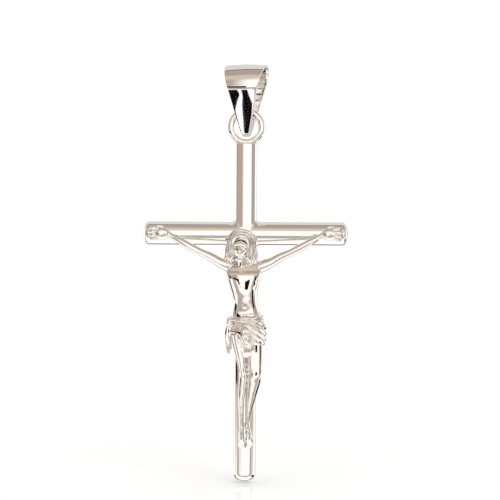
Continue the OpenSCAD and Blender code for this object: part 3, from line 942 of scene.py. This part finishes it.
TOE_Z = toe_z - crossbar_z
foot_rest = sweep([(-0.42, FOOT_Y + 0.16, TOE_Z + 0.42, 0.26, 0.16),
                   (0.05, FOOT_Y + 0.1, TOE_Z + 0.3, 0.3, 0.2),
                   (0.52, FOOT_Y + 0.16, TOE_Z + 0.42, 0.26, 0.16)], around=28, along=10)
feet = foot(-0.34, -0.32, 0.02, TOE_Z + 0.12) + foot(0.46, 0.30, 0.05, TOE_Z + 0.24)
body = cast("corpus_body_cast",
            [trunk, neck, right_leg, left_leg, foot_rest, *feet, *arm(-1), *arm(1)],
            voxel=0.05, rounds=12)

# %% [markdown]
# The head is bowed and turned a little. Its parts are placed in a frame of its own: x to its
# left-hand side as the viewer sees it, y out of the face and z up, with the origin in the middle
# of the skull. The face is an ordinary calm one on the usual proportions: eyes halfway down,
# the nose ending halfway from there to the chin, the mouth a third of the rest.

# %% Model the head
HEAD_AT = np.array([-0.43, CHEST_Y - 0.45, -1.05])
NOD, TURN_HEAD, ROLL_HEAD = math.radians(9), math.radians(-8), math.radians(-4)


def turned_head(points):
    """From the head's own frame to the figure's: rolled about y, nodded about x, turned about z."""
    x, y, z = points[..., 0], -points[..., 1], points[..., 2]
    x, z = (x * math.cos(ROLL_HEAD) - z * math.sin(ROLL_HEAD),
            x * math.sin(ROLL_HEAD) + z * math.cos(ROLL_HEAD))
    y, z = y * math.cos(NOD) - z * math.sin(NOD), y * math.sin(NOD) + z * math.cos(NOD)
    x, y = (x * math.cos(TURN_HEAD) - y * math.sin(TURN_HEAD),
            x * math.sin(TURN_HEAD) + y * math.cos(TURN_HEAD))
    return np.stack([x, y, z], axis=-1) + HEAD_AT


def in_head(surface):
    """A surface drawn in the head's frame, moved to the figure's."""
    return turned_head(surface[0]), surface[1]


def strand(stations, around=12):
    """A thin roll, drawn in the head's frame from stations of x, y, z and radius."""
    return in_head(sweep([(x, y, z, r, r) for x, y, z, r in stations], around=around, along=6,
                         front=(0.2, 1, 0.1)))


skull = [in_head(egg((0, -0.1, 0.2), (1.0, 1.1, 1.3))),
         in_head(egg((0, 0.3, -0.4), (0.76, 0.74, 1.04))),
         in_head(egg((0, 0.62, -1.16), (0.36, 0.3, 0.26)))]
features = [
    strand([(-0.5, 0.74, 0.14, 0.12), (-0.25, 0.88, 0.22, 0.12), (0, 0.9, 0.18, 0.12),
            (0.25, 0.88, 0.22, 0.12), (0.5, 0.74, 0.14, 0.12)]),
    strand([(0, 0.88, 0.12, 0.1), (0, 1.02, -0.12, 0.1), (0, 1.14, -0.36, 0.13)]),
    strand([(-0.13, 0.98, -0.4, 0.08), (0, 1.08, -0.42, 0.1), (0.13, 0.98, -0.4, 0.08)]),
    strand([(-0.2, 0.88, -0.74, 0.06), (0, 0.96, -0.71, 0.08), (0.2, 0.88, -0.74, 0.06)]),
    strand([(-0.17, 0.86, -0.87, 0.06), (0, 0.93, -0.88, 0.08), (0.17, 0.86, -0.87, 0.06)])]
for side in (-1, 1):
    features.append(in_head(egg((side * 0.33, 0.76, -0.06), (0.2, 0.16, 0.13))))
    features.append(in_head(egg((side * 0.42, 0.66, -0.42), (0.28, 0.24, 0.26))))

# %% [markdown]
# Hair is parted in the middle. Its locks lie one inside the next round the face and fall to both
# shoulders; a share from 0, next to the face, to 1, at the outline, sets each lock's path. A wave
# that shifts from lock to lock keeps the hollows between them from running parallel.

# %% Comb the hair and the beard
hair = []
LOCKS = 3
for side in (-1, 1):
    for k in range(LOCKS):
        share = k / (LOCKS - 1)
        wave = 0.05 * math.sin(2.1 * k + side)
        hair.append(strand([
            (side * 0.02, 0.74 - 0.7 * share, 1.08 + 0.4 * share, 0.19),
            (side * (0.46 + 0.32 * share), 0.66 - 0.66 * share, 0.96 + 0.32 * share, 0.21),
            (side * (0.78 + 0.44 * share), 0.42 - 0.56 * share, 0.42 + 0.1 * share, 0.22),
            (side * (0.88 + 0.52 * share) + wave, 0.3 - 0.5 * share, -0.3, 0.22),
            (side * (0.9 + 0.58 * share) - wave, 0.3 - 0.5 * share, -0.95, 0.22),
            (side * (0.92 + 0.62 * share) + wave, 0.24 - 0.5 * share, -1.5 - 0.08 * share, 0.19),
            (side * (0.94 + 0.62 * share), 0.08 - 0.45 * share, -1.9 - 0.08 * share, 0.11)],
            around=16))
back_of_head = [in_head(egg((0, -0.42, 0.15), (1.24, 0.72, 1.26))),
                in_head(egg((0, -0.5, -0.9), (1.35, 0.5, 1.0)))]
beard = [strand([(0.15 * k, 0.78 - 0.02 * k * k, -1.02 + 0.03 * k * k, 0.12),
                 (0.13 * k, 0.84 - 0.02 * k * k, -1.26, 0.13), (0.08 * k, 0.8, -1.56, 0.08)])
         for k in range(-3, 4)]
face = cast("corpus_face_cast", [*skull, *features, *beard], voxel=0.035, rounds=10)
locks = cast("corpus_hair_cast", [*hair, *back_of_head], voxel=0.035, rounds=4)

# %% [markdown]
# The cloth is wound round the hips and tucked on the viewer's left. Its folds are a wave across
# lines that hang like a chain between two points; the plain panel beside them has only a soft
# edge. The band at the top is two thin rolls, and the knot is two fat loops with two tails.

# %% Wind the cloth
def cloth_relief(points, facing):
    """Swags on the viewer's right, a step where the cloth laps over, and a plain panel."""
    x, z = points[..., 0] - 0.1, points[..., 2]
    front = step(facing, -0.5, 0.2)
    hang = z + 0.5 * (x + 0.3) + 0.16 * (x + 0.3)**2
    ridge = np.sin(hang * 2 * math.pi / 0.6 + 0.4 * np.sin(3 * x))
    swags = 0.085 * ridge * step(x, -0.45, 0.15) * step(-z, 8.7, 9.2) * step(z, -11.6, -11.2)
    lap = 0.13 * step(x + 0.08 * np.sin(2.3 * z), -0.5, -0.25)
    pleat = 0.05 * bell(x + 1.15 + 0.1 * np.sin(1.7 * z), 0.12)
    return front * (swags + lap + pleat)


def wound(offset, drop):
    """Points round the hips at a given distance outside them, for rolls and loops."""
    angle = np.linspace(-2.75, 2.75, 15)
    rows = []
    for a in angle:
        rows.append((0.08 + (1.5 + offset) * math.sin(a), TRUNK_Y - (1.1 + offset) * math.cos(a),
                     -8.5 + drop * math.sin(a)))
    return rows


drape, drape_faces = sweep([
    (0.06, TRUNK_Y, -8.5, 1.46, 1.08), (0.1, TRUNK_Y, -9.0, 1.7, 1.2),
    (0.13, TRUNK_Y - 0.02, -9.7, 1.9, 1.38), (0.15, TRUNK_Y - 0.05, -10.6, 1.86, 1.38),
    (0.12, TRUNK_Y - 0.1, -11.35, 1.68, 1.3)], around=160, along=26, bump=cloth_relief)
low_part = step(-drape[:, 2], 9.6, 11.4)
drape[:, 2] += low_part * (0.95 * step(-drape[:, 0], 0.0, 1.1) + 0.06 * np.sin(5 * drape[:, 0]))
band = [sweep([(x, y, z + 0.06 * math.sin(3 * k), 0.15, 0.15)
               for k, (x, y, z) in enumerate(wound(0.16, 0.06))], around=20, along=8,
              front=(0, 0, 1)),
        sweep([(x, y, z - 0.24 - 0.05 * math.sin(2.2 * k), 0.13, 0.13)
               for k, (x, y, z) in enumerate(wound(0.22, -0.04))], around=20, along=8,
              front=(0, 0, 1))]
KNOT = np.array([-1.55, CHEST_Y - 0.1, -8.95])


def loop(rows):
    """A roll of cloth near the knot: each row is an offset from the knot and a radius."""
    return sweep([(*(KNOT + row[:3]), row[3], row[3] * 0.8) for row in np.array(rows)], around=20,
                 along=8)


knot = [loop([(0.3, -0.2, 0.3, 0.16), (0.0, -0.28, 0.12, 0.22), (-0.22, -0.1, -0.2, 0.2)]),
        loop([(-0.2, -0.05, 0.3, 0.16), (-0.12, -0.3, 0.0, 0.2), (0.15, -0.3, -0.3, 0.16)]),
        loop([(-0.12, -0.05, -0.2, 0.2), (-0.26, 0.0, -1.0, 0.26), (-0.24, 0.05, -2.1, 0.26),
              (-0.1, 0.1, -3.15, 0.16)]),
        loop([(0.02, -0.1, -0.3, 0.16), (-0.02, -0.1, -1.1, 0.2), (0.02, 0.0, -2.0, 0.2),
              (0.08, 0.05, -2.75, 0.14)])]
cloth = cast("corpus_cloth_cast", [(drape, drape_faces), *band, *knot], voxel=0.04, rounds=6)

# %% [markdown]
# ## Hang the pieces on their bodies
#
# Two bodies move against each other: the cross with its figure, and the bail that swings in
# the ring. Each visual piece rides one body, stands in for the CAD node it was modelled over,
# and shows the metal of one named slot. Face, hair, body and cloth together replace the one
# CAD node of the figure. The two solder fillets replace nothing; they only close the joints.

# %% Ride the bodies
RIDING = [  # visual piece, CAD node it replaces, material slot
    (body, "corpus", "cast_silver"),
    (face, "corpus", "cast_silver"),
    (locks, "corpus", "cast_silver"),
    (cloth, "corpus", "cast_silver"),
    (crossbar, "crossbar_tube", "silver_tube"),
    (upper, "upper_upright_tube", "silver_tube"),
    (lower, "lower_upright_tube", "silver_tube"),
    (right_plug, "right_end_cap", "turned_silver"),
    (left_plug, "left_end_cap", "turned_silver"),
    (foot_plug, "foot_cap", "turned_silver"),
    (crown_plug, "crown_cap", "turned_silver"),
    (ring, "suspension_ring", "silver_wire"),
    (top_fillet, None, "silver_tube"),
    (low_fillet, None, "silver_tube"),
]
for piece, node, slot in RIDING:
    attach(piece, "crucifix")
    if node:
        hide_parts(node)
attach(bail, "bail")
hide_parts("bail")
print(len(RIDING) + 1, "visual pieces ride two bodies")
